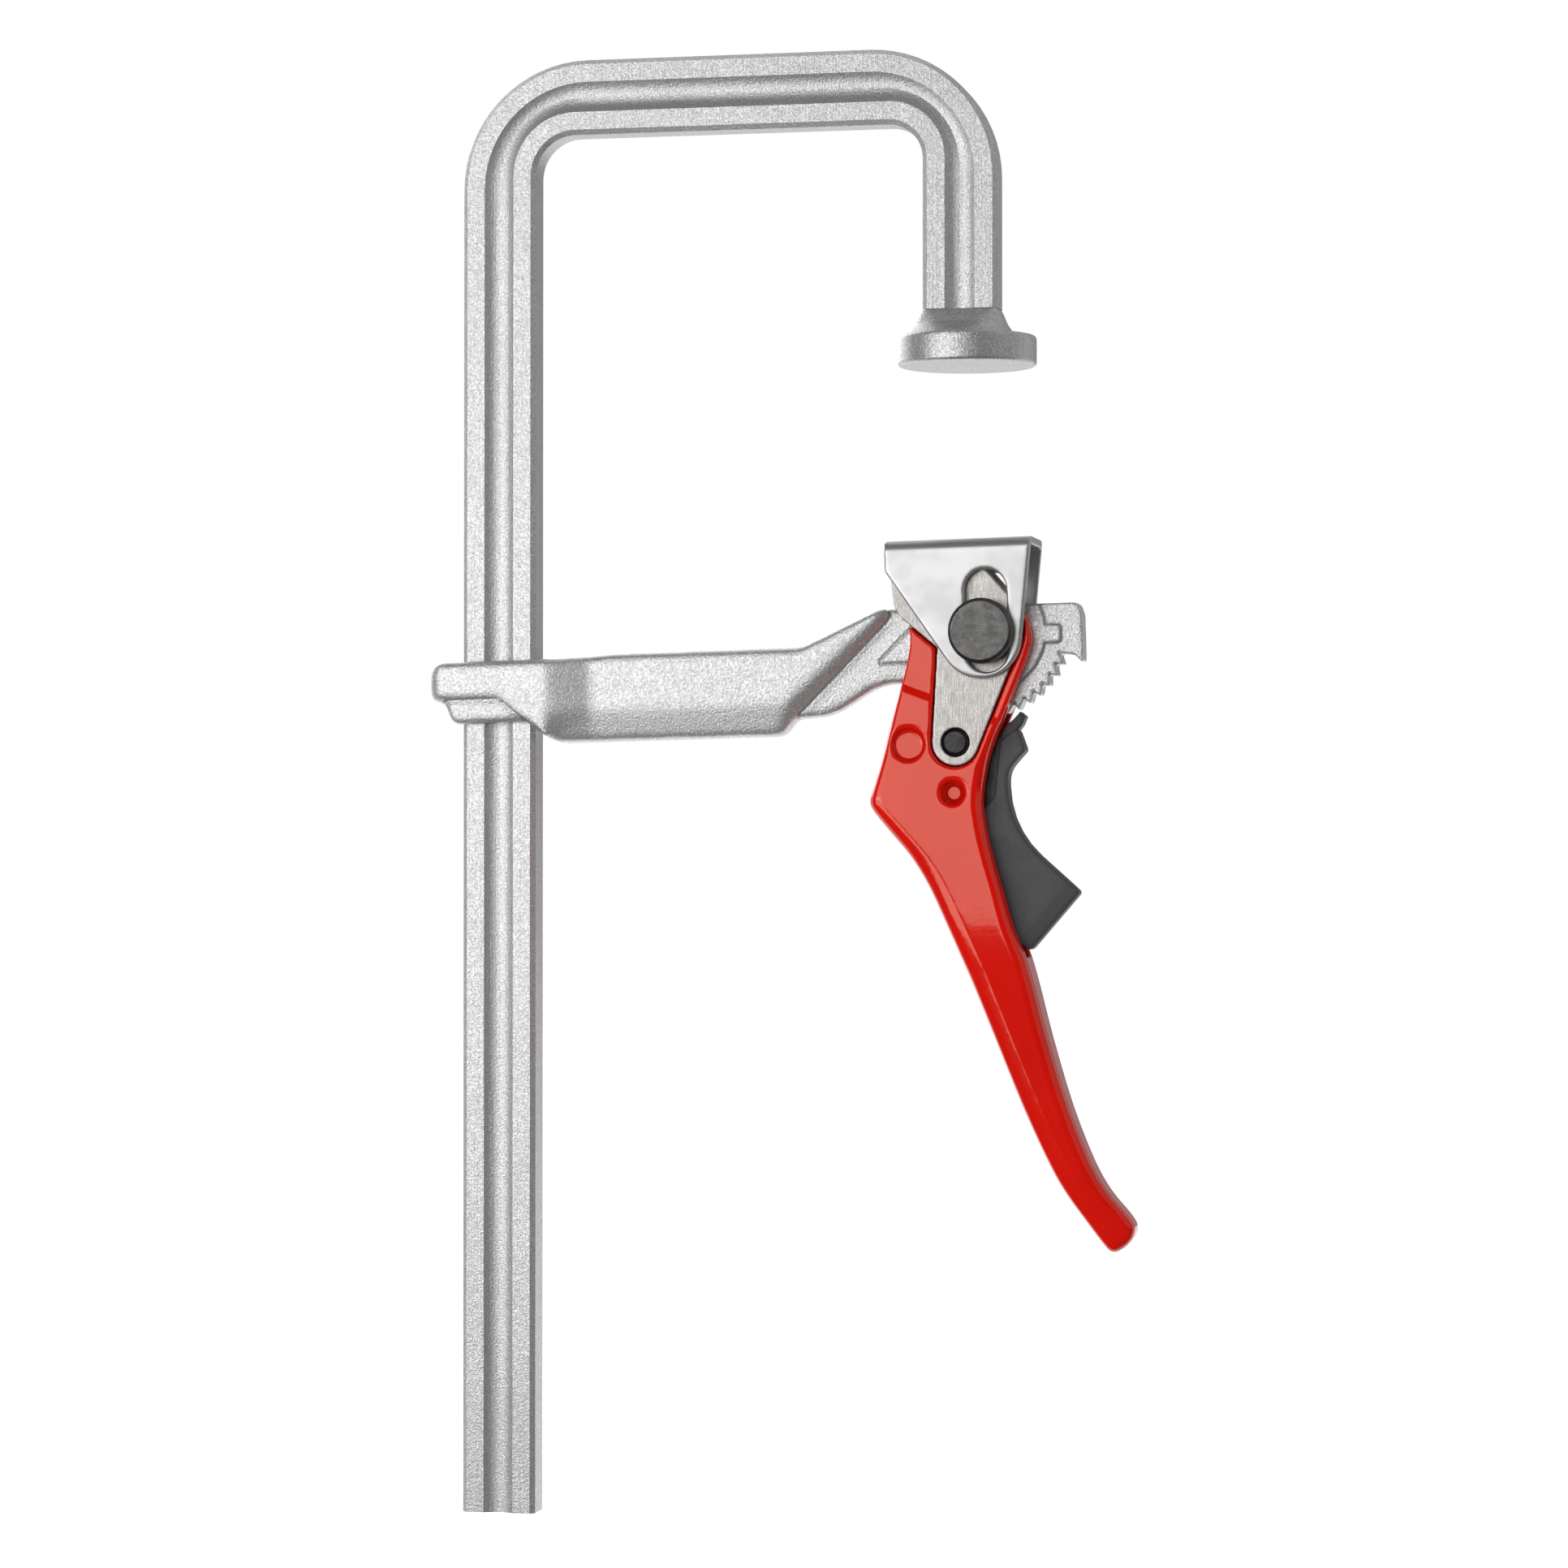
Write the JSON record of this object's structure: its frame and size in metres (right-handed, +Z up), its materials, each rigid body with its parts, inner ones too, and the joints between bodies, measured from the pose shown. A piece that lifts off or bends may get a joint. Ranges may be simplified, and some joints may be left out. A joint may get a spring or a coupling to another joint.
{
  "type": "u-shaped lever clamp",
  "caption": "Steel lever clamp with a bow-shaped rail, a fixed round jaw, and a sliding arm whose red ratchet handle lifts a folded pressure plate.",
  "frame": {"origin": "centre of the fixed jaw's flat face", "axes": "+X from the rail's long leg towards the jaws, +Z up along the rail away from the open end, +Y away from the side that shows the pin's large head"},
  "size_m": [0.2281, 0.044, 0.467],
  "materials": {
    "rail": "rolled steel bar under a matt, finely grained zinc coat",
    "fixed_jaw": "upset steel disc under the same grained zinc coat",
    "sliding_arm": "drop-forged steel, blasted and zinc coated, coarse grain",
    "pressure_plate": "pressed sheet with a bright satin zinc plating",
    "pins": "turned steel, dull dark grey",
    "cam_plates": "blanked steel, bare and slightly warm grey",
    "handle": "cast handle in thick glossy red powder paint",
    "pawl": "hardened steel plate, blackened",
    "trigger": "black moulded plastic with a fine spark-eroded grain",
    "trigger_pin": "steel pin painted over with the handle",
    "pawl_spring": "drawn spring wire"
  },
  "bodies": {
    "frame": {"rail": "rail", "fixed_jaw": "fixed_jaw"},
    "arm": {"sliding_arm": "sliding_arm", "main_pin": "pins"},
    "plate": {"pressure_plate": "pressure_plate"},
    "lever": {"handle": "handle", "cam_plate_front": "cam_plates", "cam_plate_rear": "cam_plates", "cam_pin": "pins", "trigger_pin": "trigger_pin", "pawl_spring": "pawl_spring"},
    "release": {"pawl": "pawl", "trigger": "trigger"}
  },
  "joints": [
    {"name": "arm_slide", "type": "slide", "parent": "frame", "child": "arm", "axis": [0, 0, 1], "range_m": [-0.245, 0.049]},
    {"name": "handle_swing", "type": "hinge", "parent": "arm", "child": "lever", "pos_m": [0.0068, 0, -0.0845], "axis": [0, -1, 0], "range_deg": [-17.74, 44.35]},
    {"name": "plate_lift", "type": "slide", "parent": "arm", "child": "plate", "axis": [-0.0244, 0, 0.9997], "range_m": [-0.0122, 0.0049]},
    {"name": "trigger_swing", "type": "hinge", "parent": "lever", "child": "release", "pos_m": [-0.00297, 0, -0.13515], "axis": [0, 1, 0], "range_deg": [-4.4, 3.5], "stiffness_Nm_per_rad": 0.3, "springref_deg": -20.05}
  ],
  "couplings": [
    {"joint": "plate_lift", "follows": "handle_swing", "m_per_rad": -0.0154}
  ]
}
